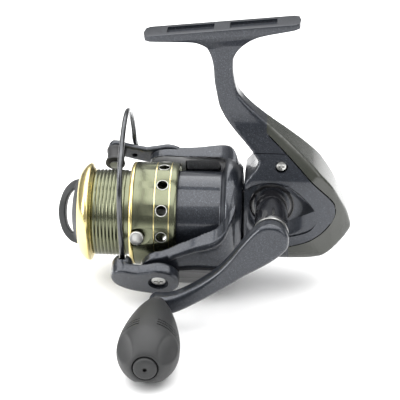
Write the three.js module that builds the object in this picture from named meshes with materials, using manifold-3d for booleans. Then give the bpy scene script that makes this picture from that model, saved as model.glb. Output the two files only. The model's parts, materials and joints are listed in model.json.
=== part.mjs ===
// A front-drag spinning reel of about size 2000, as an assembly of separate pieces.
// Units are millimetres. Every piece is placed in the reel's own axes: X runs along the main
// shaft from the drag knob to the tail, Z points up to the foot, and the handle is on the -Y side.
// The exported group moves that to the part's origin, the centre of the foot's seat.
import * as THREE from "three";
import Module from "manifold-3d";
import { mergeVertices } from "three/addons/utils/BufferGeometryUtils.js";

const wasm = await Module();
wasm.setup();

// ---- driving dimensions ----
const GAP = 0.3; // clearance left between pieces that touch
const SIDES = 18; // facets round a turned piece

const FOOT_CENTRE = [50, 84.6]; // x and z of the seat's centre above the shaft
const FOOT_TILT = (5.7 * Math.PI) / 180; // the foot rises towards the tail
const FOOT_LENGTH = 64.4;
const FOOT_WIDTH = 13;
const STEM_HALF_WIDTH = 4.8;

const BODY_FRONT = 60.3;
const BODY_HALF_WIDTH = 13.6;
const BODY_WALL = 4;
const COVER_TOP = 32.8; // parting line between the stem and the side cover
const GUARD_THICKNESS = 1.6;
const NOSE_RADIUS = 10.5;
const NOSE_FRONT = 55;

const CRANK_X = 71.8;
const CRANK_Z = 11.3;
const SHAFT_RADIUS = 2;
const CRANK_SHAFT_RADIUS = 3;
const COLLAR_FRONT = -41.5;
const ARM_FACE = -49.5;
const KNOB_X = 26.4;
const KNOB_Z = -18;
const KNOB_START = -51.6;
const KNOB_END = -100.6;

const DRIVE_TEETH = 25;
const OSCILLATION_DRIVE_TEETH = 13;
const OSCILLATION_TEETH = 26;
const OSCILLATION_MODULE = 0.79;
const OSCILLATION_X = 85.9;
const OSCILLATION_Z = 4.3;
const PIN_ORBIT = 6; // half of the spool's stroke
const GUIDE_Z = -5.3;

const ROTOR_TURN = (28 * Math.PI) / 180; // the near arm points 28 degrees below the handle side
const HUB_RADIUS = 18.5;
const HUB_FRONT = 28.5; // clears the spool's inner step when the spool is fully back
const BAIL_X = 25.6;
const ARM_OUTER = 31;

const LIP_RADIUS = 21;
const DRUM_RADIUS = 18.4;
const SKIRT_RADIUS = 22;
const SKIRT_END = 32.2;
const SKIRT_HOLES = 12;
const SKIRT_HOLE_RADIUS = 2.25;
const SKIRT_HOLE_X = 26;
const HOLE_TURN = (2.6 * Math.PI) / 180;
const CLIP_X = 15.9;
const CLIP_Z = -1;

// ---- finishes ----
const finish = (color, roughness, metalness) => ({ color, roughness, metalness });
const FLAKE_PAINT = finish(0x34373d, 0.4, 0.6);
const OLIVE_GLOSS = finish(0x5b5f52, 0.3, 0.2);
const GLOSS_BLACK = finish(0x17181a, 0.15, 0.1);
const MATTE_BLACK = finish(0x222325, 0.7, 0);
const DARK_RUBBER = finish(0x3a3c3d, 0.85, 0);
const OLIVE_ANODISED = finish(0x747a56, 0.3, 0.9);
const PALE_GOLD = finish(0xd9c372, 0.25, 1);
const STEEL = finish(0xb8bab8, 0.35, 1);
const BRASS = finish(0xb99a55, 0.35, 1);
const ZINC = finish(0x8f9294, 0.5, 0.9);
const GUNMETAL = finish(0x4a4b4c, 0.3, 1);
const DRAG_GREY = finish(0x5d5f5f, 0.65, 0.3);
const FELT = finish(0x8a7a5c, 0.95, 0);
const WHITE_NYLON = finish(0xd8d8d2, 0.5, 0);

// ---- shape helpers ----

// A closed geometry as a manifold solid whose faces point outwards.
function solid(geometry) {
  const bare = geometry.index ? geometry.toNonIndexed() : geometry.clone();
  bare.deleteAttribute("normal");
  bare.deleteAttribute("uv");
  const merged = mergeVertices(bare, 1e-4);
  const corners = Array.from(merged.index.array);
  const kept = [];
  for (let i = 0; i < corners.length; i += 3) {
    const [a, b, c] = corners.slice(i, i + 3);
    if (a !== b && b !== c && c !== a) kept.push(a, b, c);
  }
  const build = (triVerts) =>
    new wasm.Manifold(
      new wasm.Mesh({
        numProp: 3,
        vertProperties: merged.attributes.position.array,
        triVerts: new Uint32Array(triVerts),
      }),
    );
  const made = build(kept);
  return made.volume() > 0 ? made : build(kept.reverse());
}

// A body turned about the X axis. The profile lists [x, radius] and closes on itself
// unless it starts and ends on the axis.
function turnedX(profile, sides = SIDES) {
  return solid(latheOf(profile, sides).rotateZ(-Math.PI / 2));
}

// A body turned about an axis parallel to Y through (x, z). The profile lists [y, radius].
function turnedY(profile, x, z, sides = SIDES) {
  return solid(latheOf(profile, sides).translate(x, 0, z));
}

function latheOf(profile, sides) {
  const points = profile.map(([along, radius]) => new THREE.Vector2(radius, along));
  const onAxis = points[0].x === 0 && points[points.length - 1].x === 0;
  if (!onAxis) points.push(points[0].clone());
  return new THREE.LatheGeometry(points, sides);
}

const rodX = (radius, from, to, sides = SIDES) =>
  turnedX([[from, 0], [from, radius], [to, radius], [to, 0]], sides);

const ringX = (outer, inner, from, to, sides = SIDES) =>
  turnedX([[from, inner], [from, outer], [to, outer], [to, inner]], sides);

const rodY = (radius, from, to, x, z, sides = SIDES) =>
  turnedY([[from, 0], [from, radius], [to, radius], [to, 0]], x, z, sides);

const ringY = (outer, inner, from, to, x, z, sides = SIDES) =>
  turnedY([[from, inner], [from, outer], [to, outer], [to, inner]], x, z, sides);

const hexNut = (radius, bore, from, to) =>
  rodX(radius, from, to, 6).subtract(rodX(bore, from - 1, to + 1, 20));

function box(from, to) {
  const size = to.map((value, i) => value - from[i]);
  const centre = to.map((value, i) => (value + from[i]) / 2);
  return solid(new THREE.BoxGeometry(...size).translate(...centre));
}

const points2 = (list) => list.map(([x, y]) => new THREE.Vector2(x, y));

// An outline in two coordinates: straight runs are lists of points, curved runs are { curve: [...] }.
function outline(...runs) {
  const all = [];
  for (const run of runs) {
    if (Array.isArray(run)) all.push(...points2(run));
    else all.push(...new THREE.SplineCurve(points2(run.curve)).getPoints(run.steps ?? run.curve.length));
  }
  return all.filter((point, i) => point.distanceTo(all[(i + 1) % all.length]) > 0.02);
}

// The same outline moved inwards by a distance.
function inset(points, distance) {
  const count = points.length;
  return points.map((point, i) => {
    const before = points[(i + count - 1) % count];
    const after = points[(i + 1) % count];
    const along = after.clone().sub(before).normalize();
    const turn = THREE.ShapeUtils.area(points) > 0 ? 1 : -1;
    return new THREE.Vector2(point.x - along.y * distance * turn, point.y + along.x * distance * turn);
  });
}

// An outline drawn in towards a centre by a distance, which stays clean at sharp corners.
function drawnIn(points, [x, y], distance) {
  const centre = new THREE.Vector2(x, y);
  return points.map((point) => {
    const reach = point.clone().sub(centre);
    return reach.setLength(reach.length() - distance).add(centre);
  });
}

// A plate cut to an outline in the XZ plane, between two values of y, with rounded rims.
function plateY(points, from, to, rim = 0) {
  const geometry = extruded(points, to - from, rim);
  return solid(geometry.rotateX(Math.PI / 2).translate(0, to - rim, 0));
}

// A plate cut to an outline in the YZ plane, between two values of x.
function plateX(points, from, to, rim = 0) {
  const geometry = extruded(points, to - from, rim);
  return solid(geometry.rotateY(Math.PI / 2).rotateX(Math.PI / 2).translate(from + rim, 0, 0));
}

// A plate cut to an outline in the XY plane, between two values of z.
function plateZ(points, from, to, rim = 0) {
  return solid(extruded(points, to - from, rim).translate(0, 0, from + rim));
}

function extruded(points, depth, rim) {
  return new THREE.ExtrudeGeometry(new THREE.Shape(points), {
    depth: depth - 2 * rim,
    steps: 1,
    bevelEnabled: rim > 0,
    bevelThickness: rim,
    bevelSize: rim,
    bevelOffset: -rim,
    bevelSegments: 2,
  });
}

const mirrored = (half) => [...half, ...half.map(([x, y]) => [-x, y]).reverse()];

const circle = (radius, x, y, steps = 24) =>
  Array.from({ length: steps }, (_, i) => {
    const turn = (2 * Math.PI * i) / steps;
    return new THREE.Vector2(x + radius * Math.cos(turn), y + radius * Math.sin(turn));
  });

const arc = (radius, x, y, from, to, steps) =>
  Array.from({ length: steps + 1 }, (_, i) => {
    const turn = from + ((to - from) * i) / steps;
    return [x + radius * Math.cos(turn), y + radius * Math.sin(turn)];
  });

// A round bar that follows a curve.
function barAlong(curve, radius, steps, sides = 8) {
  return solid(
    new THREE.ExtrudeGeometry(new THREE.Shape(circle(radius, 0, 0, sides)), {
      steps,
      bevelEnabled: false,
      extrudePath: curve,
    }),
  );
}

// A spur gear about an axis parallel to Y, with one tooth pointing along `aim`.
function spurGear({ teeth, module, from, to, x, z, bore, aim }) {
  const pitch = (2 * Math.PI) / teeth;
  const root = (module * (teeth - 2.3)) / 2;
  const tip = (module * (teeth + 1.5)) / 2;
  const points = [];
  for (let i = 0; i < teeth; i++) {
    const middle = aim + i * pitch;
    for (const [offset, radius] of [[-0.3, root], [-0.13, tip], [0.13, tip], [0.3, root]]) {
      const turn = middle + offset * pitch;
      points.push(new THREE.Vector2(x + radius * Math.cos(turn), z + radius * Math.sin(turn)));
    }
  }
  return plateY(points, from, to).subtract(rodY(bore, from - 1, to + 1, x, z, 24));
}

// A screw along Y: a round head with a cross recess, and a plain shank in place of the thread.
function crossScrewY({ x, z, headFrom, headTo, head, shank, tipAt }) {
  const outside = Math.sign(headFrom);
  const mid = (headFrom + headTo) / 2;
  const sorted = (a, b) => [Math.min(a, b), Math.max(a, b)];
  const body = rodY(head, ...sorted(headFrom, headTo), x, z, 20).add(
    rodY(shank, ...sorted(mid, tipAt), x, z, 12),
  );
  const depth = sorted(headFrom + outside, headFrom - outside * 0.5);
  const arm = head * 0.62;
  const slot = head * 0.16;
  return body
    .subtract(box([x - arm, depth[0], z - slot], [x + arm, depth[1], z + slot]))
    .subtract(box([x - slot, depth[0], z - arm], [x + slot, depth[1], z + arm]));
}

// ---- the scene graph ----
const reel = new THREE.Group();
reel.position.set(-FOOT_CENTRE[0], 0, -FOOT_CENTRE[1]);
const rotorGroup = new THREE.Group(); // turned so that the near arm lies along -Y
rotorGroup.rotation.x = ROTOR_TURN;
reel.add(rotorGroup);

function piece(name, made, { color, roughness, metalness }, parent = reel) {
  const mesh = made.simplify(0.1).getMesh();
  const geometry = new THREE.BufferGeometry();
  geometry.setAttribute("position", new THREE.BufferAttribute(mesh.vertProperties, 3));
  geometry.setIndex(new THREE.BufferAttribute(mesh.triVerts, 1));
  geometry.computeVertexNormals();
  const finished = new THREE.Mesh(geometry, new THREE.MeshStandardMaterial({ color, roughness, metalness }));
  finished.name = name;
  parent.add(finished);
}

// ---- housing, side cover and rear guard ----

// The side view: the back runs from the stem down to the pointed tail, then forward underneath.
const BACK = [
  [83.3, 32.8], [89, 27.4], [93.8, 22], [97.7, 16.6], [100.5, 11.1], [103.2, 5.6], [104.9, 0],
  [105.5, -2.8],
];
const BELLY = [
  [105.5, -2.8],
  [103.3, -5.7],
  [100, -8.7],
  [95.8, -11.7],
  [89, -14.6],
  [83, -15.4],
  [76, -15.7],
  [67, -15.3],
  [BODY_FRONT, -13.8],
];
const THROAT = [[BODY_FRONT, 20.6], [62.6, 23.6], [65, 26.6], [66.2, 29.6], [66.5, 32.8]];
const STEM_FRONT = [
  [43.4, 77.6], [45.8, 73], [46.9, 68], [47.2, 63], [48.4, 56], [49.7, 50.7], [52.7, 45.4],
  [56.9, 40.2], [62, 34.9], [65.6, 30.2],
];
const STEM_BACK = [
  [83.3, 32.8], [77.4, 38], [71, 43.2], [64.7, 48.4], [59.4, 53.6], [56.5, 57.8], [55, 64],
  [54.6, 69], [55.3, 74], [58.4, 78.4],
];

const bodySide = outline({ curve: THROAT, steps: 8 }, { curve: BACK }, { curve: BELLY });
const stemSide = outline({ curve: STEM_FRONT }, [[72, 26], [84, 28]], { curve: STEM_BACK });
const rootSide = outline(
  { curve: STEM_FRONT.slice(6) },
  [[72, 26], [84, 28]],
  { curve: STEM_BACK.slice(0, 4) },
);

const SIDE_CENTRE = [76, 9];
const TOP_CENTRE = [84, 0];
const FRONT_CENTRE = [0, 12];

// The front view narrows from the gearbox up to the stem, and rounds off underneath.
const frontView = points2(
  mirrored([
    [-5, -18], [-9, -15.6], [-12.4, -10.5], [-BODY_HALF_WIDTH, -3], [-BODY_HALF_WIDTH, 20],
    [-12.8, 27], [-10.6, 34], [-8, 41], [-6, 52],
  ]),
);
// The top view narrows to the tail.
const topView = outline(
  [[50, -20], [88, -20]],
  { curve: [[90, -15.5], [97, -12.6], [103, -8.6], [106.5, -4]], steps: 4 },
  { curve: [[106.5, 4], [103, 8.6], [97, 12.6], [90, 15.5]], steps: 4 },
  [[88, 20], [50, 20]],
);
const bodyLimits = plateX(frontView, 50, 112).intersect(plateZ(topView, -30, 60));

const gearbox = plateY(bodySide, -BODY_HALF_WIDTH, BODY_HALF_WIDTH).intersect(bodyLimits);
const stemRoot = plateY(rootSide, -9, 9).intersect(bodyLimits);
const fullBody = gearbox.add(stemRoot);

const guardSide = outline(
  { curve: [[68.1, 45.7], [74.4, 40.6], ...BACK.slice(1)] },
  { curve: BELLY.slice(0, 6) },
  [[79.5, -15.9], [79, -8.4]],
  {
    curve: [
      [87, -5.6], [94.4, -1.2], [98.4, 4.5], [98.4, 9.4], [96, 13.6], [88.4, 22], [79, 31.8],
      [69, 41],
    ],
  },
);
const wrap = BODY_HALF_WIDTH - GUARD_THICKNESS - GAP;
const backEdge = outline(
  { curve: [[60, 52.3], [64.7, 48.4], [71, 43.2], [77.4, 38], ...BACK] },
  { curve: BELLY },
  [[BODY_FRONT, 30]],
);
const limitsDrawnIn = (distance) =>
  plateZ(drawnIn(topView, TOP_CENTRE, distance), -30, 60).intersect(
    plateX(drawnIn(frontView, FRONT_CENTRE, distance), 50, 112),
  );
const core = plateY(drawnIn(backEdge, SIDE_CENTRE, GUARD_THICKNESS + GAP), -wrap, wrap).intersect(
  limitsDrawnIn(GUARD_THICKNESS + GAP),
);
const guardPocket = plateY(inset(guardSide, -GAP), -20, 20);
const guardHollow = plateY(drawnIn(backEdge, SIDE_CENTRE, GUARD_THICKNESS), -wrap - GAP, wrap + GAP)
  .intersect(limitsDrawnIn(GUARD_THICKNESS));
const trimmedBody = fullBody.subtract(guardPocket).add(core.intersect(fullBody));

const cavitySide = drawnIn(bodySide, SIDE_CENTRE, BODY_WALL);
const CAVITY_HALF_WIDTH = BODY_HALF_WIDTH - 2.2;
const cavity = plateY(cavitySide, -CAVITY_HALF_WIDTH, CAVITY_HALF_WIDTH)
  .intersect(plateZ(drawnIn(topView, TOP_CENTRE, 3.8), -30, 60))
  .intersect(box([64.3, -20, -20], [120, 20, 40]));

const nose = rodX(NOSE_RADIUS, NOSE_FRONT, 64.4);
const noseBore = turnedX([
  [NOSE_FRONT - 1, 0],
  [NOSE_FRONT - 1, 8.3],
  [60.8, 8.3],
  [60.8, 7.25],
  [64.2, 7.25],
  [64.2, 4.2],
  [66, 4.2],
  [66, 0],
]);

function footBlock() {
  const end = FOOT_LENGTH / 2;
  const half = FOOT_WIDTH / 2;
  const tail = [
    [end - 2.6, -half], [end - 0.6, -half + 1.6], [end, 0], [end - 0.6, half - 1.6], [end - 2.6, half],
  ];
  const toe = [
    [-end + 2.6, half], [-end + 0.6, half - 1.6], [-end, 0], [-end + 0.6, -half + 1.6], [-end + 2.6, -half],
  ];
  const underFront = [[-27, -2.7], [-17, -3.7], [-10.5, -4.8], [-6, -8], [-3.4, -13]];
  const underBack = [[5, -13], [8.5, -8.6], [12.6, -5], [18, -3.7], [27, -2.7]];
  const plan = outline(
    [[-end + 2.6, -half], [end - 2.6, -half]],
    { curve: tail, steps: 6 },
    { curve: toe, steps: 6 },
  );
  const profile = outline(
    [[-end, 0], [-end, -2.1]],
    { curve: underFront, steps: 6 },
    { curve: underBack, steps: 6 },
    [[end, -2.1], [end, 0]],
  );
  const block = plateY(profile, -half, half).intersect(plateZ(plan, -9.5, 0, 0.5));
  const pocket = (from, to) => box([from, -3.4, -1.5], [to, 3.9, 1]);
  const cut = block.subtract(pocket(-22.5, -3.2)).subtract(pocket(3.2, 22.5));
  return cut.rotate([0, (-FOOT_TILT * 180) / Math.PI, 0]).translate([FOOT_CENTRE[0], 0, FOOT_CENTRE[1]]);
}

const farHalf = box([50, GAP / 2, -30], [112, 30, 70])
  .add(box([40, -30, COVER_TOP + GAP], [112, 30, 70]));
const bearingBossFar = ringY(7, 5.1, 8.7, 12.4, CRANK_X, CRANK_Z);
const housing = trimmedBody.intersect(farHalf)
  .subtract(cavity)
  .add(
    plateY(stemSide, -STEM_HALF_WIDTH, STEM_HALF_WIDTH, 0.8)
      .intersect(box([30, -20, COVER_TOP + 1.2], [100, 20, 90]))
      .subtract(guardPocket),
  )
  .add(nose)
  .add(bearingBossFar)
  .subtract(noseBore)
  .subtract(rodY(5.1, 8, 12.3, CRANK_X, CRANK_Z))
  .subtract(rodY(7, 12.7, 16, CRANK_X, CRANK_Z))
  .subtract(rodY(4, 8, 16, CRANK_X, CRANK_Z))
  .add(footBlock());

const nearHalf = box([50, -30, -30], [112, -GAP / 2, COVER_TOP]);
const sideCover = trimmedBody
  .intersect(nearHalf)
  .subtract(cavity)
  .subtract(rodX(NOSE_RADIUS + GAP, 50, 64.7))
  .add(ringY(7, 5.1, -12, -8, CRANK_X, CRANK_Z))
  .subtract(rodY(9.4, -20, -11.7, CRANK_X, CRANK_Z))
  .subtract(rodY(5.1, -11.2, -7, CRANK_X, CRANK_Z))
  .subtract(rodY(4.2, -20, -7, CRANK_X, CRANK_Z));

const guard = plateY(guardSide, -20, 20)
  .intersect(
    plateY(
      outline(
        { curve: [[66, 47.5], [71, 43.2], [77.4, 38], ...BACK] },
        { curve: BELLY },
        [[BODY_FRONT, 30]],
      ),
      -BODY_HALF_WIDTH,
      BODY_HALF_WIDTH,
    ),
  )
  .intersect(bodyLimits)
  .subtract(guardHollow);

const COVER_SCREWS = [[75.4, 28.2], [66.5, -9.5]];
const screwHoles = COVER_SCREWS.map(([x, z]) =>
  rodY(2.6, -20, -10.9, x, z, 20).add(rodY(1.25, -12, 4, x, z, 12)),
);
const drilled = (made) => screwHoles.reduce((rest, hole) => rest.subtract(hole), made);
const screwPost = ([x, z]) => rodY(2.6, GAP / 2, 12, x, z, 16).intersect(trimmedBody);
const housingWithPosts = COVER_SCREWS.reduce((rest, spot) => rest.add(screwPost(spot)), housing);

const GUARD_SCREW_X = 75.6;
const GUARD_SCREW_Z = 38.9;
function guardScrewShape(head, shank, length, headDepth) {
  return solid(
    latheOf([[-length, 0], [-length, shank], [-headDepth, shank], [-headDepth, head], [0, head], [0, 0]], 20)
      .rotateX(Math.PI / 2)
      .rotateY(0.69)
      .translate(GUARD_SCREW_X, 0, GUARD_SCREW_Z),
  );
}
const guardScrewHole = guardScrewShape(2.1, 1.25, 7.3, 1.6)
  .add(guardScrewShape(1.25, 1.25, 7.3, 1).translate([0.6, 0, 0.7]));

piece("housing", drilled(housingWithPosts).subtract(guardScrewHole), FLAKE_PAINT);
piece("side_cover", drilled(sideCover), FLAKE_PAINT);
piece("rear_guard", guard.subtract(guardScrewHole), OLIVE_GLOSS);
COVER_SCREWS.forEach(([x, z], i) => {
  const screw = crossScrewY({ x, z, headFrom: -12.4, headTo: -11.2, head: 2.1, shank: 0.95, tipAt: 3 });
  piece(`side_cover_screw_${i + 1}`, screw, STEEL);
});
piece("guard_screw", guardScrewShape(1.8, 0.95, 6.6, 1.2).translate([-0.15, 0, -0.2]), STEEL);
piece(
  "far_side_cap",
  rodY(6.6, 13, 15.4, CRANK_X, CRANK_Z)
    .subtract(box([CRANK_X - 4, 14.6, CRANK_Z - 0.6], [CRANK_X + 4, 16, CRANK_Z + 0.6])),
  MATTE_BLACK,
);

// ---- bearings and fixed inner pieces ----
piece(
  "crank_bearing_near",
  ringY(4.8, CRANK_SHAFT_RADIUS + 0.15, -11, -8.1, CRANK_X, CRANK_Z),
  STEEL,
);
piece("crank_bearing_far", ringY(4.8, CRANK_SHAFT_RADIUS + 0.15, 9, 12, CRANK_X, CRANK_Z), STEEL);
piece("anti_reverse_clutch", ringX(8, 3.9, 55.4, 60.5), ZINC);
piece("pinion_bearing", ringX(7, 3.65, 61.1, 63.9), STEEL);
piece("clutch_retainer", ringX(9.8, 4.2, 54.1, 54.7), STEEL);
piece("slider_guide_rod", rodX(1.2, 69, 92, 12).translate([0, 0, GUIDE_Z]), STEEL);
piece("oscillation_gear_axle", rodY(1.8, 4.9, 11, OSCILLATION_X, OSCILLATION_Z, 20), STEEL);

// ---- crank, drive gear and handle ----
const crankAim = Math.atan2(OSCILLATION_Z - CRANK_Z, OSCILLATION_X - CRANK_X);
piece(
  "drive_gear",
  spurGear({
    teeth: DRIVE_TEETH,
    module: 0.54,
    from: -3,
    to: 1,
    x: CRANK_X,
    z: CRANK_Z,
    bore: CRANK_SHAFT_RADIUS + 0.15,
    aim: 0,
  }),
  ZINC,
);
piece(
  "oscillation_drive_gear",
  spurGear({
    teeth: OSCILLATION_DRIVE_TEETH,
    module: OSCILLATION_MODULE,
    from: 5.4,
    to: 8.2,
    x: CRANK_X,
    z: CRANK_Z,
    bore: CRANK_SHAFT_RADIUS + 0.15,
    aim: crankAim,
  }),
  BRASS,
);
piece("crank_shaft", rodY(CRANK_SHAFT_RADIUS, -44.5, 12.3, CRANK_X, CRANK_Z), STEEL);
piece(
  "crank_collar",
  turnedY(
    [
      [COLLAR_FRONT, 3.3],
      [COLLAR_FRONT, 6.8],
      [-40.8, 7.15],
      [-40, 7.1],
      [-14, 6.6],
      [-12.3, 6.6],
      [-12.3, 3.3],
    ],
    CRANK_X,
    CRANK_Z,
  ),
  GLOSS_BLACK,
);

const armTop = [
  [64.3, 14.6], [59.9, 9], [56, 3.6], [50, -4.2], [44, -10.8], [37.8, -14.2], [30.5, -15.2],
  [27.3, -14.6],
];
const armBottom = [
  [26, -21.6], [30.6, -22.6], [35.4, -22], [44, -17], [52.8, -11.2], [57.7, -7.4], [62.4, -4.1],
  [68.8, -0.2], [74, 3.4], [77.6, 6.8],
];
const armSide = outline(
  { curve: armTop },
  [[23.6, -16.6], [23.2, -19.6]],
  { curve: armBottom },
  { curve: [[79, 9.4], [79, 13.4], [76.6, 17], [72.4, 18.6], [68, 17.8]], steps: 8 },
);
piece(
  "crank_arm",
  plateY(armSide, ARM_FACE, COLLAR_FRONT - GAP, 0.8)
    .subtract(rodY(3.3, -45, -40, CRANK_X, CRANK_Z))
    .subtract(rodY(1.9, -47.5, -40, KNOB_X, KNOB_Z, 20))
    .subtract(rodY(1.5, -50, -40, KNOB_X, KNOB_Z, 20))
    .subtract(rodY(1.6, -44.5, -41, CRANK_X - 6.6, CRANK_Z + 1, 16)),
  FLAKE_PAINT,
);
piece("fold_pin", rodY(1.3, -44.2, -41.7, CRANK_X - 6.6, CRANK_Z + 1, 16), BRASS);
piece(
  "knob_spindle",
  turnedY(
    [[-93, 0], [-93, 1.3], [-47.2, 1.3], [-47.2, 1.65], [-44.6, 1.65], [-44.6, 0]],
    KNOB_X,
    KNOB_Z,
    20,
  ),
  STEEL,
);

// ---- knob ----
piece(
  "knob_washer",
  ringY(4.4, 1.6, KNOB_START, KNOB_START + 1.4, KNOB_X, KNOB_Z, 24),
  MATTE_BLACK,
);
const grip = turnedY(
  [
    [KNOB_START - 0.4, 1.6],
    [KNOB_START - 0.4, 4.6],
    [-54, 6.4],
    [-59, 8.6],
    [-66, 10.6],
    [-74, 11.8],
    [-81, 12.1],
    [-87, 11.7],
    [-93, 10],
    [-97.5, 7.6],
    [-99.4, 5.9],
    [-99.4, 4.9],
    [-96.4, 4.9],
    [-96.4, 1.6],
  ],
  KNOB_X,
  KNOB_Z,
  18,
);
piece("knob_grip", grip, DARK_RUBBER);
piece(
  "knob_cap",
  turnedY(
    [[KNOB_END, 0], [-100.4, 3.6], [-99.6, 4.6], [-96.8, 4.6], [-96.8, 0]],
    KNOB_X,
    KNOB_Z,
    18,
  ),
  DARK_RUBBER,
);

// ---- oscillation gear ----
const meshPhase = crankAim + Math.PI + Math.PI / OSCILLATION_TEETH;
const eccentricPin = rodY(1.5, 4.4, 6, OSCILLATION_X - PIN_ORBIT, OSCILLATION_Z, 16);
piece(
  "oscillation_gear",
  spurGear({
    teeth: OSCILLATION_TEETH,
    module: OSCILLATION_MODULE,
    from: 5.6,
    to: 8,
    x: OSCILLATION_X,
    z: OSCILLATION_Z,
    bore: 2,
    aim: meshPhase,
  }).add(eccentricPin),
  WHITE_NYLON,
);

// ---- main shaft and slider ----
piece("main_shaft", rodX(SHAFT_RADIUS, -11.6, 81.5, 32), STEEL);
const sliderX = OSCILLATION_X - PIN_ORBIT;
const SLIDER_FOOT = -7.2;
const sliderPlate = box([sliderX - 3, 2, SLIDER_FOOT], [sliderX + 3, 4, OSCILLATION_Z + 9.2]);
const sliderClamp = box([sliderX - 3, -3.6, SLIDER_FOOT], [sliderX + 3, 4, 3.2]);
const sliderSlot = box(
  [sliderX - 1.75, 1, OSCILLATION_Z - 7.8],
  [sliderX + 1.75, 5, OSCILLATION_Z + 7.8],
);
piece(
  "oscillation_slider",
  sliderPlate.add(sliderClamp)
    .subtract(sliderSlot.intersect(box([0, 2.6, -20], [200, 9, 40])))
    .subtract(rodX(SHAFT_RADIUS + 0.15, 60, 83))
    .subtract(rodX(1.4, 60, 100, 16).translate([0, 0, GUIDE_Z]))
    .subtract(rodY(1.2, -5, -1.5, sliderX, 0, 16)),
  ZINC,
);
piece(
  "slider_screw",
  rodY(1, -3.9, -2.3, sliderX, 0, 16).add(rodY(1.9, -5, -3.85, sliderX, 0, 16)),
  STEEL,
);
piece("spool_seat_washer", ringX(5, SHAFT_RADIUS + 0.15, 20.4, 21.6), BRASS);

// ---- spool ----
function skirtHole(index) {
  const turn = HOLE_TURN + (index * 2 * Math.PI) / SKIRT_HOLES;
  return solid(
    new THREE.CylinderGeometry(SKIRT_HOLE_RADIUS, SKIRT_HOLE_RADIUS, 8, 7)
      .translate(0, SKIRT_RADIUS, 0)
      .rotateX(Math.PI / 2 + turn)
      .translate(SKIRT_HOLE_X, 0, 0),
  );
}
const spoolBody = turnedX(
  [
    [-9.6, 15.6],
    [-9.6, 16.9],
    [-3.7, 16.9],
    [-3.7, DRUM_RADIUS],
    [10.1, DRUM_RADIUS],
    [10.1, 20.5],
    [14.2, 20.5],
    [14.2, SKIRT_RADIUS],
    [31.4, SKIRT_RADIUS],
    [SKIRT_END, 21.4],
    [SKIRT_END, 20.5],
    [15.6, 20.5],
    [15.6, 16.8],
    [1, 16.8],
    [1, 5.5],
    [20, 5.5],
    [20, 2.3],
    [-1, 2.3],
    [-1, 12.4],
    [-6.8, 12.4],
    [-6.8, 15.6],
  ],
  30,
);
let spool = spoolBody;
for (let i = 0; i < SKIRT_HOLES; i++) spool = spool.subtract(skirtHole(i));
piece("spool", spool.subtract(rodY(1.5, -24, -21.2, CLIP_X, CLIP_Z, 12)), OLIVE_ANODISED);
piece(
  "spool_lip_ring",
  turnedX(
    [[-10, 17.2], [-10, 19.8], [-8.8, 20.8], [-7, LIP_RADIUS], [-5.2, 20.7], [-4, 19.4], [-4, 17.2]],
    30,
  ),
  PALE_GOLD,
);
piece(
  "spool_rear_ring",
  turnedX([[10.4, 20.8], [10.4, 21.3], [11, 21.9], [13.4, 21.9], [13.9, 21.6], [13.9, 20.8]], 30),
  PALE_GOLD,
);
piece(
  "line_clip",
  rodY(3.1, -24, -22.4, CLIP_X, CLIP_Z, 20).add(rodY(1.2, -22.6, -21.5, CLIP_X, CLIP_Z, 12)),
  STEEL,
);

piece("drag_washer_felt_front", ringX(11.8, 2.5, -4.7, -3.7), FELT);
piece("drag_washer_steel", ringX(11.8, 2.3, -3.4, -2.6), STEEL);
piece("drag_washer_felt_rear", ringX(11.8, 2.5, -2.3, -1.3), FELT);
piece("drag_retaining_ring", ringX(12.1, 11.2, -5.8, -5.2), STEEL);

// ---- drag knob ----
const knobDome = turnedX([
  [-13.8, 0], [-13.6, 5], [-12.8, 10], [-11.2, 13.4], [-9.2, 14.9], [-7.2, 15.1], [-7.2, 3.4],
  [-12.2, 3.4], [-12.2, 0],
]);
const bridgeOuter = [
  [-10.4, -14.2], [-14.4, -12.6], [-18, -8], [-19.8, 0], [-18, 8], [-14.4, 12.6], [-10.4, 14.2],
];
const bridgeInner = [
  [-11, 11], [-14.2, 8.6], [-16.2, 5], [-16.8, 0], [-16.2, -5], [-14.2, -8.6], [-11, -11],
];
const bridge = plateY(
  outline({ curve: bridgeOuter, steps: 12 }, { curve: bridgeInner, steps: 10 }),
  -3.4,
  3.4,
).rotate([-24.5, 0, 0]);
piece("drag_knob", knobDome.add(bridge), DRAG_GREY);
piece("drag_knob_nut", hexNut(3.1, SHAFT_RADIUS + 0.15, -11, -8), BRASS);

// ---- rotor ----
const rotorHub = turnedX(
  [
    [HUB_FRONT, 16.8],
    [HUB_FRONT, HUB_RADIUS],
    [50.5, HUB_RADIUS],
    [51.3, 21.5],
    [52.4, 24.2],
    [54.6, 24.9],
    [57.4, 23.4],
    [59.3, 20.8],
    [59.3, 18.6],
    [53.5, 18.6],
    [53.5, 3.7],
    [50.5, 3.7],
    [50.5, 16.8],
  ],
  30,
);
const armRing = turnedX(
  [
    [57.2, 23],
    [55.8, 26.4],
    [53, 28.8],
    [48, 29.4],
    [40, 29],
    [32, 29.6],
    [26, ARM_OUTER - 0.6],
    [16, ARM_OUTER - 0.6],
    [16, 27],
    [26, 26.6],
    [34, 25.2],
    [50, 24.4],
    [53, 23],
    [56, 21.6],
  ],
  40,
);
const halfPlan = [[60, 22], [55, 21], [52.4, 18], [48, 15.4], [41.5, 13.2], [34, 10.6], [29, 8.8]];
const armPlan = outline(
  { curve: halfPlan },
  arc(8, BAIL_X, 0, Math.PI / 2, (3 * Math.PI) / 2, 8),
  { curve: halfPlan.map(([x, z]) => [x, -z]).reverse() },
);
const arms = armRing.intersect(plateY(armPlan, -40, 40));

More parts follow.
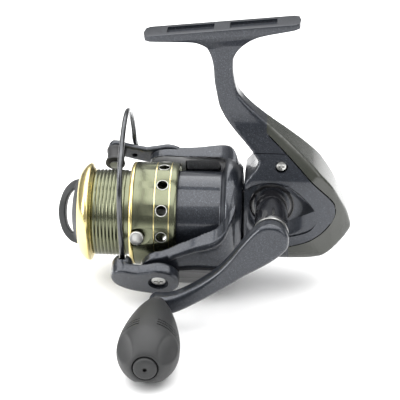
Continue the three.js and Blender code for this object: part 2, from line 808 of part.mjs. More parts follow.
const coverPlan = outline(
  { curve: [[53.8, -18.6], [47, -15], [41, -12.8], [34, -10.2], [29.5, -8.2]] },
  [[30, 0.8]],
  { curve: [[40, 1.6], [48, 2], [53.8, 2.2]] },
);
const coverShell = turnedX(
  [
    [55.8, 25], [55, 28.4], [52.8, 30.2], [48, 30.8], [40, 30.4], [32, 30.7], [28, 31], [28, 29.8],
    [32, 29.4], [40, 28.8], [48, 29.2], [52.4, 28.6], [54.2, 27.2], [55, 25],
  ],
  40,
);
const armCover = coverShell.intersect(plateY(coverPlan, -40, -10));
const coverRecess = turnedX(
  [
    [58, 24], [56, 34], [26, 34], [26, 29.4], [32, 28.9], [40, 28.3], [48, 28.7], [52.2, 27.9],
    [54.1, 26.2], [54.8, 23.2],
  ],
  40,
)
  .intersect(plateY(inset(coverPlan, -3 * GAP), -40, -10));

const springPocket = box([32, -27.9, -2], [46, -26.4, -0.2])
  .add(box([32, -30, -2.6], [46, -26.6, 0.4]));
const rotor = rotorHub
  .add(arms)
  .subtract(coverRecess)
  .subtract(springPocket)
  .subtract(rodY(1.5, -34, -24, BAIL_X, 0, 16))
  .subtract(rodY(1.5, 24, 34, BAIL_X, 0, 16));
piece("rotor", rotor, FLAKE_PAINT, rotorGroup);
piece("rotor_arm_cover", armCover, GLOSS_BLACK, rotorGroup);

class Coil extends THREE.Curve {
  constructor(from, to, turns, radius, y, z) {
    super();
    Object.assign(this, { from, to, turns, radius, y, z });
  }
  getPoint(t) {
    const turn = 2 * Math.PI * this.turns * t;
    return new THREE.Vector3(
      this.from + (this.to - this.from) * t,
      this.y + this.radius * Math.cos(turn),
      this.z + this.radius * Math.sin(turn),
    );
  }
}
piece(
  "bail_spring",
  barAlong(new Coil(33, 45, 5, 0.65, -27.7, -1.1), 0.2, 40, 4),
  STEEL,
  rotorGroup,
);

// The pinion's five helical teeth wind round a hollow sleeve that the main shaft runs through.
function pinionShape() {
  const sleeve = turnedX([[45, 2.35], [45, 3.4], [66.5, 3.4], [66.5, 2.9], [75.6, 2.9], [75.6, 2.35]], 20);
  const thread = new THREE.CylinderGeometry(3.3, 3.3, 8.4, 20, 6).rotateZ(-Math.PI / 2);
  const place = thread.getAttribute("position");
  for (let i = 0; i < place.count; i++) {
    const [x, y, z] = [place.getX(i), place.getY(i), place.getZ(i)];
    const radius = Math.hypot(y, z);
    if (radius < 1) continue;
    const ridge = 1 + 0.12 * Math.cos(5 * (Math.atan2(y, z) - 0.35 * x));
    place.setXYZ(i, x, y * ridge, z * ridge);
  }
  return sleeve.add(solid(thread.translate(71.2, 0, 0))).subtract(rodX(2.35, 40, 80, 20));
}
piece("pinion", pinionShape(), BRASS);
piece("rotor_nut", hexNut(6.2, 3.7, 46.6, 50.1), BRASS);

// ---- bail ----
const beanSide = outline(
  {
    curve: [
      [17.5, 6.6], [21, 7.3], [25.6, 8.6], [30.6, 7], [33.8, 2.8], [33.8, -2.8], [30.8, -6.8],
      [25.6, -8.4], [19, -7.6], [12.5, -5.6], [8, -2.6],
    ],
    steps: 14,
  },
  { curve: [[6.2, 0.6], [6, 3.6], [7.8, 6.6], [11, 7.8], [14.4, 7]], steps: 8 },
);
const bean = plateY(beanSide, -36.4, -31.4, 0.8);
const lobe = turnedY(
  [[-35.6, 0], [-35.3, 3], [-33, 4.4], [-29, 4.4], [-27, 3.6], [-26.2, 0]],
  10.4,
  3.2,
  20,
);
const nearSocket = rodY(1.4, -31, -25, 10.4, 4, 12).add(box([9, -30, 4], [11.8, -25, 9]));
const bailArm = bean
  .add(lobe)
  .subtract(nearSocket)
  .subtract(rodY(3.7, -40, -34.9, BAIL_X, 0, 24))
  .subtract(rodY(1.5, -36, -30, BAIL_X, 0, 16));
piece("bail_arm", bailArm, FLAKE_PAINT, rotorGroup);

const rollerSide = outline(
  {
    curve: [
      [16, 4.2], [21, 5.4], [25.6, 6.4], [30.4, 4.4], [32, 0], [30.4, -4.4], [25.6, -6.4],
      [20, -5.4], [12, -3.4], [4, -0.6],
    ],
    steps: 12,
  },
  { curve: [[0.2, 0.6], [-1.2, 4], [0.2, 7.4], [3.4, 8.2], [9, 6]], steps: 8 },
);
const ROLLER_X = 2.7;
const ROLLER_Z = 4;
const rollerArm = plateY(rollerSide, 31.4, 34.4, 0.6)
  .add(rodY(2.4, 33, 35.6, 10.4, 0.6, 16))
  .subtract(rodY(1.25, 32, 37, 10.4, 0.6, 12))
  .subtract(rodY(1.5, 30, 36, BAIL_X, 0, 16))
  .subtract(rodY(1.5, 30, 36, ROLLER_X, ROLLER_Z, 16));
piece("roller_arm", rollerArm, FLAKE_PAINT, rotorGroup);

const WIRE_X = 10.4;
const ARCH_CENTRE = 4;
const ARCH_HALF = 32;
const ARCH_HEIGHT = 41;
const ARCH_FULLNESS = 2.4; // an ellipse is 2; more is fuller at the shoulders
const wirePoints = [];
for (let i = 0; i <= 18; i++) {
  const turn = (Math.PI * i) / 18;
  const full = (value) => Math.sign(value) * Math.abs(value) ** (2 / ARCH_FULLNESS);
  wirePoints.push(
    new THREE.Vector3(
      WIRE_X,
      ARCH_CENTRE - ARCH_HALF * full(Math.cos(turn)),
      ARCH_CENTRE + ARCH_HEIGHT * full(Math.sin(turn)),
    ),
  );
}
wirePoints.unshift(new THREE.Vector3(WIRE_X, -28.2, 3.6));
wirePoints.push(
  new THREE.Vector3(10.6, 37.4, 2),
  new THREE.Vector3(10.4, 36.2, 0.8),
  new THREE.Vector3(10.4, 32.4, 0.6),
);
const wireCurve = new THREE.CatmullRomCurve3(wirePoints, false, "centripetal");
piece("bail_wire", barAlong(wireCurve, 0.9, 36, 6), GUNMETAL, rotorGroup);
piece(
  "bail_screw_near",
  crossScrewY({ x: BAIL_X, z: 0, headFrom: -36, headTo: -35, head: 3.3, shank: 1.2, tipAt: -27 }),
  STEEL,
  rotorGroup,
);
piece(
  "bail_screw_far",
  crossScrewY({ x: BAIL_X, z: 0, headFrom: 35.8, headTo: 34.7, head: 2.9, shank: 1.2, tipAt: 27 }),
  STEEL,
  rotorGroup,
);
piece(
  "roller_pin",
  turnedY(
    [[35.8, 0], [35.8, 2.4], [34.7, 2.4], [34.7, 1.2], [23, 1.2], [23, 2.2], [22.5, 2.2], [22.5, 0]],
    ROLLER_X,
    ROLLER_Z,
    20,
  ),
  STEEL,
  rotorGroup,
);
piece(
  "line_roller",
  turnedY(
    [
      [31, 1.5], [31, 3.9], [30.2, 3.9], [28.8, 3.2], [25.4, 3.2], [24, 3.9], [23.3, 3.9],
      [23.3, 1.5],
    ],
    ROLLER_X,
    ROLLER_Z,
    24,
  ),
  GLOSS_BLACK,
  rotorGroup,
);

const part = new THREE.Group();
part.add(reel);
export default part;
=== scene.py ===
# %% [markdown]
# # A front-drag spinning reel
# The reel hangs under a rod by its foot. A crank on the near side turns a geared rotor round the
# spool, and the wire bail on the rotor lays line on the spool. The engineering model gives every
# piece its place and its motion. This lesson gives the pieces that are seen their finished shape
# and surface, one assembly at a time, and leaves the hidden works as they are.

# %% Load the frame
import json
from math import cos, pi, radians, sin

import bpy
from mathutils import Matrix, Vector


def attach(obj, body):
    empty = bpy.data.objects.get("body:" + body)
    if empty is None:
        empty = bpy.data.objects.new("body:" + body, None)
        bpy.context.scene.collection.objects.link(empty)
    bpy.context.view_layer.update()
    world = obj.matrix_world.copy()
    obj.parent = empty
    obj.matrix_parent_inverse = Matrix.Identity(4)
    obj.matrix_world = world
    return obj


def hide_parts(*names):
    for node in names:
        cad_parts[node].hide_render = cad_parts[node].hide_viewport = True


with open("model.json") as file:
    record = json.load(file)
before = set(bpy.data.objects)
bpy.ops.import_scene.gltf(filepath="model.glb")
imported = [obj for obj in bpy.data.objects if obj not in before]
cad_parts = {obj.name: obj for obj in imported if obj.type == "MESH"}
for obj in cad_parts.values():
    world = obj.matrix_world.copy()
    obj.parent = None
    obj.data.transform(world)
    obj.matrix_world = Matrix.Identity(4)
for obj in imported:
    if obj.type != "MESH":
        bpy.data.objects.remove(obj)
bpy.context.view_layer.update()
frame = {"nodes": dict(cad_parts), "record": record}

# %% [markdown]
# ## Axes of the work
# Sizes are in millimetres in the reel's own axes: X runs along the main shaft from the drag knob
# to the tail, Z points up to the foot, and the handle is on the -Y side. The frame has its origin
# on the foot, so each finished piece is moved there at the end. The rotor is turned 28 degrees.

# %% Axes and sizes shared by the pieces
MM = 0.001
SHAFT_TO_FOOT = Vector((-50, 0, -84.6)) * MM
ROTOR_TURN = radians(28)
CRANK_X, CRANK_Z = 71.8, 11.3
KNOB_X, KNOB_Z = 26.4, -18
BAIL_X = 25.6
FLOOR_Z = (-30.4 - 84.6) * MM

# %% [markdown]
# ## Camera
# The camera looks down on the handle side with a long lens, so the foot and the knob both show.

# %% Camera
bpy.ops.object.select_all(action="DESELECT")
bpy.ops.object.camera_add(location=(0.02663, -0.58240, 0.18799), rotation=(radians(65.5), 0, radians(3.5)))
camera = bpy.context.object
camera.data.lens = 135
camera.data.sensor_width = 36
bpy.context.scene.camera = camera
print("camera at", tuple(round(v, 3) for v in camera.location))

# %% [markdown]
# ## Floor and soft light
# A product is lit from large soft sources so that its painted and anodised skins show long, clean
# highlights. One big panel hangs overhead, one stands at each side, and the world fills the rest.

# %% Floor, panels and world
bpy.ops.object.select_all(action="DESELECT")
bpy.ops.mesh.primitive_plane_add(size=6, location=(0, 0, FLOOR_Z))
floor = bpy.context.object
floor.name = "floor"


def light_panel(name, place, aim, size, power):
    """A square area light that faces a point on the reel."""
    bpy.ops.object.light_add(type="AREA", location=place)
    panel = bpy.context.object
    panel.name = name
    panel.data.size = size
    panel.data.energy = power
    panel.rotation_euler = (Vector(aim) - Vector(place)).to_track_quat("-Z", "Y").to_euler()
    return panel


light_panel("overhead_panel", (-0.05, 0.05, 0.9), (0.02, 0, -0.06), 2.0, 34)
light_panel("left_panel", (-0.8, -0.35, 0.25), (0, 0, -0.06), 0.4, 4)
light_panel("right_panel", (0.8, -0.45, 0.35), (0.02, 0, -0.05), 0.5, 2)
world = bpy.data.worlds.new("studio")
bpy.context.scene.world = world
world.use_nodes = True
sky = world.node_tree.nodes
ways = sky.new("ShaderNodeTexCoord")
split = sky.new("ShaderNodeSeparateXYZ")
shade = sky.new("ShaderNodeValToRGB")
shade.color_ramp.elements[0].position, shade.color_ramp.elements[0].color = 0.05, (0.16, 0.165, 0.17, 1)
shade.color_ramp.elements[1].position, shade.color_ramp.elements[1].color = 0.75, (1, 1, 1, 1)
world.node_tree.links.new(ways.outputs["Generated"], split.inputs["Vector"])
world.node_tree.links.new(split.outputs["Z"], shade.inputs["Fac"])
world.node_tree.links.new(shade.outputs["Color"], sky["Background"].inputs["Color"])
sky["Background"].inputs["Strength"].default_value = 0.9
bpy.context.scene.view_settings.view_transform = "Standard"

# %% [markdown]
# ## Finishes
# Every finish is a Principled shader with a pattern on Object coordinates, so the pattern stays
# with the piece when the piece moves. A helper sets the plain sockets, and each finish adds its
# own texture: flakes in the paint, grain in rubber, fine turning marks on metal.

# %% Finish helpers
def new_finish(name, **sockets):
    """A material with one Principled shader, its plain sockets set."""
    made = bpy.data.materials.new(name)
    made.use_nodes = True
    shader = made.node_tree.nodes["Principled BSDF"]
    for socket, value in sockets.items():
        shader.inputs[socket.replace("_", " ")].default_value = value
    return made


def node(made, kind, **settings):
    """A node of a kind, with its settings and unlinked sockets filled in."""
    added = made.node_tree.nodes.new(kind)
    for key, value in settings.items():
        if hasattr(added, key):
            setattr(added, key, value)
        else:
            added.inputs[key.replace("_", " ")].default_value = value
    return added


def link(made, source, output, target, socket):
    made.node_tree.links.new(source.outputs[output], target.inputs[socket])


def ramp_between(made, source, output, stops):
    """A colour ramp fed by a value, with (position, colour) stops."""
    ramp = node(made, "ShaderNodeValToRGB")
    bar = ramp.color_ramp
    while len(bar.elements) < len(stops):
        bar.elements.new(0.5)
    for element, (position, colour) in zip(bar.elements, stops):
        element.position = position
        element.color = (*colour, 1)
    link(made, source, output, ramp, "Fac")
    return ramp


def grain(made, scale, strength, distance=0.00005, detail=4):
    """A fine noise bump on the whole piece."""
    place = node(made, "ShaderNodeTexCoord")
    noise = node(made, "ShaderNodeTexNoise", Scale=scale, Detail=detail)
    bump = node(made, "ShaderNodeBump", Strength=strength, Distance=distance)
    shader = made.node_tree.nodes["Principled BSDF"]
    link(made, place, "Object", noise, "Vector")
    link(made, noise, "Fac", bump, "Height")
    link(made, bump, "Normal", shader, "Normal")
    return noise


def cloudy(made, scale, dark, light, socket="Base Color"):
    """Slow colour change over the piece, as handling and casting leave."""
    place = node(made, "ShaderNodeTexCoord")
    noise = node(made, "ShaderNodeTexNoise", Scale=scale, Detail=3)
    link(made, place, "Object", noise, "Vector")
    ramp = ramp_between(made, noise, "Fac", [(0.3, dark), (0.7, light)])
    link(made, ramp, "Color", made.node_tree.nodes["Principled BSDF"], socket)
    return ramp


def uneven_gloss(made, scale, low, high):
    """Roughness that wanders between two values."""
    place = node(made, "ShaderNodeTexCoord")
    noise = node(made, "ShaderNodeTexNoise", Scale=scale, Detail=5)
    spread = node(made, "ShaderNodeMapRange", To_Min=low, To_Max=high)
    link(made, place, "Object", noise, "Vector")
    link(made, noise, "Fac", spread, "Value")
    link(made, spread, "Result", made.node_tree.nodes["Principled BSDF"], "Roughness")


# %% [markdown]
# ### Flake paint
# The body, arm and rotor carry a dark blue-grey paint with tiny metal flakes under a clear coat.
# Small Voronoi cells, each with its own random value, pick out the bright flakes.

# %% Flake paint
def flake_paint():
    made = new_finish("flake_paint", Metallic=0.55, Roughness=0.33, Coat_Weight=0.6, Coat_Roughness=0.08)
    shader = made.node_tree.nodes["Principled BSDF"]
    place = node(made, "ShaderNodeTexCoord")
    cells = node(made, "ShaderNodeTexVoronoi", Scale=4600)
    link(made, place, "Object", cells, "Vector")
    flakes = ramp_between(made, cells, "Color", [
        (0.0, (0.010, 0.012, 0.016)), (0.6, (0.019, 0.022, 0.030)),
        (0.85, (0.040, 0.046, 0.058)), (1.0, (0.12, 0.135, 0.16))])
    link(made, flakes, "Color", shader, "Base Color")
    bump = node(made, "ShaderNodeBump", Strength=0.12, Distance=0.00003)
    link(made, cells, "Distance", bump, "Height")
    link(made, bump, "Normal", shader, "Normal")
    return made


FINISHES = {"flake_paint": flake_paint()}
print("finishes so far:", list(FINISHES))

# %% [markdown]
# ### Plastics and rubber
# The rear guard is glossy olive-grey moulding. The knob is dry matte rubber with a fine grain.

# %% Plastics and rubber
def moulded(name, dark, light, roughness, grain_scale, grain_strength, coat=0.0):
    made = new_finish(name, Roughness=roughness, Coat_Weight=coat, Coat_Roughness=0.06)
    cloudy(made, 90, dark, light)
    grain(made, grain_scale, grain_strength)
    return made


FINISHES["olive_gloss"] = moulded("olive_gloss", (0.024, 0.026, 0.020), (0.034, 0.036, 0.029), 0.24, 500,
    0.05, 0.3)
FINISHES["gloss_black"] = moulded("gloss_black", (0.006, 0.006, 0.007), (0.010, 0.010, 0.012), 0.12, 300,
    0.03, 0.8)
FINISHES["matte_black"] = moulded("matte_black", (0.012, 0.012, 0.013), (0.020, 0.020, 0.021), 0.55, 2500,
    0.2)
FINISHES["dark_rubber"] = moulded("dark_rubber", (0.011, 0.0115, 0.012), (0.017, 0.0175, 0.018), 0.55, 3800,
    0.3)
FINISHES["drag_grey"] = moulded("drag_grey", (0.022, 0.023, 0.024), (0.06, 0.062, 0.063), 0.5, 4200, 0.7)
FINISHES["white_nylon"] = moulded("white_nylon", (0.62, 0.62, 0.58), (0.72, 0.72, 0.68), 0.45, 900, 0.1)

# %% [markdown]
# ### Metals
# Anodised and plated pieces keep the fine rings that the lathe left. The rings follow the distance
# along the shaft, so the pattern is a wave along X. Machined inner pieces get the same rings.

# %% Metals
def turned_metal(name, dark, light, low, high, ring_scale=900, coat=0.0):
    made = new_finish(name, Metallic=1.0, Coat_Weight=coat)
    cloudy(made, 260, dark, light)
    uneven_gloss(made, 900, low, high)
    shader = made.node_tree.nodes["Principled BSDF"]
    place = node(made, "ShaderNodeTexCoord")
    rings = node(made, "ShaderNodeTexWave", bands_direction="X", Scale=ring_scale, Distortion=0, Detail=0)
    bump = node(made, "ShaderNodeBump", Strength=0.03, Distance=0.00002)
    link(made, place, "Object", rings, "Vector")
    link(made, rings, "Fac", bump, "Height")
    link(made, bump, "Normal", shader, "Normal")
    return made


FINISHES["olive_anodised"] = turned_metal("olive_anodised", (0.150, 0.158, 0.104), (0.166, 0.174, 0.117),
    0.24, 0.27)
FINISHES["pale_gold"] = turned_metal("pale_gold", (0.80, 0.67, 0.30), (0.85, 0.72, 0.35), 0.2, 0.25)
FINISHES["steel"] = turned_metal("steel", (0.40, 0.40, 0.39), (0.50, 0.50, 0.48), 0.26, 0.34)
FINISHES["brass"] = turned_metal("brass", (0.52, 0.38, 0.15), (0.62, 0.47, 0.20), 0.25, 0.4)
FINISHES["zinc"] = turned_metal("zinc", (0.32, 0.33, 0.34), (0.40, 0.41, 0.42), 0.4, 0.55)
FINISHES["gunmetal"] = turned_metal("gunmetal", (0.075, 0.078, 0.082), (0.11, 0.113, 0.118), 0.16, 0.28)

# %% [markdown]
# ### Felt
# The drag washers are pressed wool felt: a coarse noise for the fibres, and some sheen.

# %% Felt
felt = new_finish("felt", Roughness=0.95, Sheen_Weight=0.6)
cloudy(felt, 900, (0.20, 0.16, 0.09), (0.32, 0.26, 0.16))
grain(felt, 2600, 0.8, 0.0001)
FINISHES["felt"] = felt
paper = new_finish("floor_paper", Roughness=0.9, Base_Color=(0.93, 0.93, 0.93, 1))
grain(paper, 900, 0.02)
floor.data.materials.append(paper)
print("finishes:", len(FINISHES))

# %% Finishes on the engineering model's own pieces
for entry in frame["record"]["subparts"]:
    cad_piece = frame["nodes"][entry["node"]]
    cad_piece.data.materials.clear()
    cad_piece.data.materials.append(FINISHES[entry["material_slot"]])

# %% [markdown]
# ## Tools for shaping
# Two kinds of blank start nearly every piece. A turned blank is a profile, drawn point by point
# from a single vertex and spun round an axis, as on a lathe. A plate blank is an outline, closed to
# a face and extruded, as if sawn from sheet. Booleans then join and cut the blanks.

# %% Drawing helpers
def smooth_run(points, steps=5):
    """Points along a smooth curve that passes through the given ones."""
    ends = [points[0], *points, points[-1]]
    drawn = []
    for a, b, c, d in zip(ends, ends[1:], ends[2:], ends[3:]):
        for i in range(steps):
            t = i / steps
            drawn.append(tuple(
                0.5 * (2 * q + (r - p) * t + (2 * p - 5 * q + 4 * r - s) * t * t
                       + (3 * q - p - 3 * r + s) * t ** 3)
                for p, q, r, s in zip(a, b, c, d)))
    return [*drawn, tuple(points[-1])]


def draw_chain(name, points):
    """An object in edit mode, with a chain of edges through the points, in millimetres."""
    bpy.ops.object.select_all(action="DESELECT")
    bpy.ops.mesh.primitive_plane_add(size=MM)
    piece = bpy.context.object
    piece.name = name
    bpy.ops.object.mode_set(mode="EDIT")
    bpy.ops.mesh.select_all(action="SELECT")
    bpy.ops.mesh.merge(type="CENTER")
    bpy.ops.transform.translate(value=Vector(points[0]) * MM)
    for before, after in zip(points, points[1:]):
        step = (Vector(after) - Vector(before)) * MM
        if step.length > 1e-7:
            bpy.ops.mesh.extrude_vertices_move(TRANSFORM_OT_translate={"value": step})
    bpy.ops.mesh.select_all(action="SELECT")
    return piece


def turned(name, profile, axis="X", centre=(0, 0), steps=96):
    """A turned blank. The profile lists (place along the axis, radius)."""
    if axis == "X":
        points = [(along, centre[0], centre[1] + radius) for along, radius in profile]
        middle, line = (0, centre[0] * MM, centre[1] * MM), (1, 0, 0)
    else:
        points = [(centre[0], along, centre[1] + radius) for along, radius in profile]
        middle, line = (centre[0] * MM, 0, centre[1] * MM), (0, 1, 0)
    piece = draw_chain(name, points)
    bpy.ops.mesh.spin(steps=steps, angle=2 * pi, center=middle, axis=line)
    bpy.ops.mesh.select_all(action="SELECT")
    bpy.ops.mesh.remove_doubles(threshold=1e-6)
    bpy.ops.mesh.normals_make_consistent(inside=False)
    bpy.ops.object.mode_set(mode="OBJECT")
    return piece


def closed(profile):
    """A profile that ends where it starts, for a ring."""
    return [*profile, profile[0]]


def plate(name, outline, low, high, flat="XZ"):
    """A plate blank: an outline in one plane, thick from low to high along the third axis."""
    place = {"XZ": lambda u, v: (u, low, v), "YZ": lambda u, v: (low, u, v), "XY": lambda u,
        v: (u, v, low)}[flat]
    along = {"XZ": Vector((0, 1, 0)), "YZ": Vector((1, 0, 0)), "XY": Vector((0, 0, 1))}[flat]
    piece = draw_chain(name, [place(*point) for point in outline])
    bpy.ops.mesh.remove_doubles(threshold=1e-6)
    bpy.ops.mesh.edge_face_add()
    bpy.ops.mesh.extrude_region_move(TRANSFORM_OT_translate={"value": along * (high - low) * MM})
    bpy.ops.mesh.select_all(action="SELECT")
    bpy.ops.mesh.normals_make_consistent(inside=False)
    bpy.ops.object.mode_set(mode="OBJECT")
    return piece


# %% Joining, cutting and finishing helpers
def modify(piece, kind, **settings):
    """Adds a modifier and applies it."""
    bpy.ops.object.select_all(action="DESELECT")
    bpy.context.view_layer.objects.active = piece
    piece.select_set(True)
    added = piece.modifiers.new(kind.lower(), kind)
    for key, value in settings.items():
        setattr(added, key, value)
    bpy.ops.object.modifier_apply(modifier=added.name)
    return piece


def combine(piece, tool, operation="DIFFERENCE", keep=False):
    """Cuts, joins or trims a piece with a tool, which is then thrown away unless it is kept."""
    modify(piece, "BOOLEAN", operation=operation, object=tool, solver="EXACT")
    if not keep:
        bpy.data.objects.remove(tool)
    return piece


def ease_rims(piece, width, segments=3, angle=40):
    """Rounds the sharp rims of a piece."""
    return modify(piece, "BEVEL", width=width * MM, segments=segments, limit_method="ANGLE",
                  angle_limit=radians(angle), use_clamp_overlap=True)


def soften(piece, grain_size, passes):
    """Remeshes a blank finely and relaxes it, so that its edges flow as a casting's do."""
    modify(piece, "REMESH", mode="VOXEL", voxel_size=grain_size * MM)
    return modify(piece, "SMOOTH", factor=0.5, iterations=passes)


def copy_of(piece, name):
    """A second piece with its own mesh."""
    twin = piece.copy()
    twin.data = piece.data.copy()
    twin.name = name
    bpy.context.scene.collection.objects.link(twin)
    return twin


def complete(piece, body, finish, *cad_nodes, turn=0.0, angle=32):
    """Moves a finished piece to the frame, paints it and lets it ride on its body."""
    bpy.ops.object.select_all(action="DESELECT")
    bpy.context.view_layer.objects.active = piece
    piece.select_set(True)
    piece.rotation_euler = (turn, 0, 0)
    piece.location = SHAFT_TO_FOOT
    bpy.ops.object.transform_apply(location=True, rotation=True, scale=True)
    bpy.ops.object.shade_smooth_by_angle(angle=radians(angle))
    piece.data.materials.clear()
    piece.data.materials.append(FINISHES[finish])
    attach(piece, body)
    if cad_nodes:
        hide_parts(*cad_nodes)
    print(piece.name, len(piece.data.polygons), "faces")
    return piece


# %% [markdown]
# ## The body
# The gearbox and the stem are one casting in the round. Its side view, its front view and its top
# view are each sawn from a plate and kept only where all three agree. The blank is then softened,
# which gives the flowing edges of a die casting, before it is parted into housing and side cover.

# %% Outlines of the body
BODY_FRONT, BODY_HALF = 60.3, 13.6
BACK = [(83.3, 32.8), (89, 27.4), (93.8, 22), (97.7, 16.6), (100.5, 11.1), (103.2, 5.6), (104.9, 0),
    (105.5, -2.8)]
BELLY = [(105.5, -2.8), (103.3, -5.7), (100, -8.7), (95.8, -11.7), (89, -14.6), (83, -15.4), (76, -15.7),
         (67, -15.3), (BODY_FRONT, -13.8)]
THROAT = [(BODY_FRONT, 20.6), (62.6, 23.6), (65, 26.6), (66.2, 29.6), (66.5, 32.8)]
STEM_FRONT = [(43.4, 77.6), (45.8, 73), (46.9, 68), (47.2, 63), (48.4, 56), (49.7, 50.7), (52.7, 45.4),
              (56.9, 40.2), (62, 34.9), (65.6, 30.2)]
STEM_BACK = [(83.3, 32.8), (77.4, 38), (71, 43.2), (64.7, 48.4), (59.4, 53.6), (56.5, 57.8), (55, 64),
             (54.6, 69), (55.3, 74), (58.4, 78.4)]
side_view = [*smooth_run(THROAT), *smooth_run(BACK), *smooth_run(BELLY)]
stem_view = [*smooth_run(STEM_FRONT), (72, 26), (84, 28), *smooth_run(STEM_BACK)]
root_view = [*smooth_run(STEM_FRONT[4:]), (72, 26), (84, 28), *smooth_run(STEM_BACK[:6])]
half_front = [(4, -18), (7.5, -15.9), (11, -12.4), (13, -7.4), (BODY_HALF, -1), (BODY_HALF, 18), (12.4, 25),
              (10, 32), (7.6, 38), (5.6, 44), (4.6, 52)]
front_view = [*smooth_run(half_front), *[(-y, z) for y, z in reversed(smooth_run(half_front))]]
half_top = [(50, 20), (84, 20), (87, 13.9), (92, 12), (97, 9.4), (101.5, 6.2), (106.5, 1.6)]
top_view = [*half_top, *[(x, -y) for x, y in reversed(half_top)]]
print("side view drawn with", len(side_view), "points")

# %% The casting
body_blank = plate("body_blank", side_view, -BODY_HALF, BODY_HALF)
combine(body_blank, plate("root_blank", root_view, -BODY_HALF, BODY_HALF), "UNION")
combine(body_blank, plate("front_saw", front_view, 40, 112, flat="YZ"), "INTERSECT")
combine(body_blank, plate("top_saw", top_view, -30, 60, flat="XY"), "INTERSECT")
combine(body_blank, plate("stem_blank", stem_view, -4.9, 4.9), "UNION")
soften(body_blank, 0.5, 22)
modify(body_blank, "DISPLACE", strength=0.2 * MM, mid_level=0)
print("casting:", len(body_blank.data.polygons), "faces")

# %% [markdown]
# ### Parting lines and the oval
# One blank is sawn into three shells with plates, so the parting lines meet exactly. The saw for
# the rear guard is a little wider on its inner edge, which leaves a fine dark seam. On the near
# side an oval groove runs round the crank: an oval plate less a smaller one makes the cutter.

# %% Parting the casting
GUARD_INNER = [(98.4, 4.5), (98.4, 9.4), (96, 13.6), (88.4, 22), (79, 31.8), (69, 41)]
inner_run = smooth_run([(79, -8.4), (87, -5.6), (94.4, -1.2), *GUARD_INNER])
SEAM_SIDE = set(inner_run[1:-1])
guard_view = [*smooth_run([(69, 46.4), (74.4, 41.6), *[(x + 1.6, z + 1.4) for x, z in BACK[1:]]]),
              *smooth_run([(x + 0.6, z - 1.4) for x, z in BELLY[:6]]),
              (79.5, -17.5), *inner_run]
cavity_view = [(64.3, 19), (69.5, 26), (78, 28.5), (86, 23), (91, 19), (95.8, 14.6), (98.9, 4), (98.6, -3),
    (95.9, -8.4), (92, -9.8),
               (82, -11.2), (64.3, -9.8)]
guard_saw = plate("guard_saw", guard_view, -20, 20)
SEAM = 0.35
seam_saw = plate("seam_saw", [(x - SEAM, z - SEAM if z > 2 else z + SEAM) if (x, z) in SEAM_SIDE else (x, z)
                              for x, z in guard_view], -20, 20)
cavity = plate("cavity", cavity_view, -11.4, 11.4)
combine(cavity, plate("cavity_top", [(60, 14), (84, 14), (88, 11.2), (92, 10.2), (97, 8.5), (101, 3),
                                        (101, -3), (97, -8.5), (92, -10.2), (88, -11.2), (84, -14),
                                        (60, -14)],
                      -30, 60, flat="XY"), "INTERSECT")
rear_guard = combine(copy_of(body_blank, "rear_guard_shell"), guard_saw, "INTERSECT", keep=True)
combine(rear_guard, cavity, keep=True)
bpy.data.objects.remove(guard_saw)
combine(body_blank, seam_saw)
combine(body_blank, cavity)
near_saw = plate("near_saw", [(50, -30), (112, -30), (112, 32.8), (50, 32.8)], -30, -0.15)
side_cover = combine(copy_of(body_blank, "side_cover_shell"), near_saw, "INTERSECT", keep=True)
near_gap = plate("near_gap", [(50, -30), (112, -30), (112, 33.1), (50, 33.1)], -30, 0.15)
housing = combine(body_blank, near_gap)
bpy.data.objects.remove(near_saw)
housing.name = "housing_shell"
print("parted:", len(housing.data.polygons), len(side_cover.data.polygons), len(rear_guard.data.polygons))

# %% The foot
FOOT_TILT = radians(5.7)
half_foot = [(-32.2, 0), (-31.6, 4.9), (-29.6, 6.5), (29.6, 6.5), (31.6, 4.9), (32.2, 0)]
foot_plan = [*half_foot, *[(x, -y) for x, y in reversed(half_foot[1:-1])]]
foot_under = [*smooth_run([(-27, -2.7), (-17, -3.7), (-10.5, -4.8), (-6, -8), (-3.4, -13)], 4),
              *smooth_run([(3.2, -13.4), (5.4, -10), (8.6, -7.2), (12.8, -4.9), (18, -3.7), (27, -2.7)], 4)]
foot = plate("foot", [(-32.2, 0), (-32.2, -2.1), *foot_under, (32.2, -2.1), (32.2, 0)], -6.5, 6.5)
combine(foot, plate("foot_saw", foot_plan, -13.5, 0, flat="XY"), "INTERSECT")
half_end = [(6.5, 0), (6.5, -3), (6.1, -4.6), (5.2, -7.4), (4.7, -11), (4.7, -14)]
end_view = [*half_end, *[(-y, z) for y, z in reversed(half_end)]]
combine(foot, plate("foot_end_saw", end_view, -40, 40, flat="YZ"), "INTERSECT")
ease_rims(foot, 0.7, 4, 50)
for low, high in ((-22.5, -3.2), (3.2, 22.5)):
    pocket = plate("pocket", [(low, -3.4), (high, -3.4), (high, 3.9), (low, 3.9)], -1.5, 1, flat="XY")
    ease_rims(pocket, 0.5, 2)
    combine(foot, pocket)
bpy.ops.object.select_all(action="DESELECT")
bpy.context.view_layer.objects.active = foot
foot.select_set(True)
foot.rotation_euler = (0, -FOOT_TILT, 0)
foot.location = Vector((50, 0, 84.6)) * MM
bpy.ops.object.transform_apply(location=True, rotation=True, scale=True)
combine(housing, foot, "UNION")

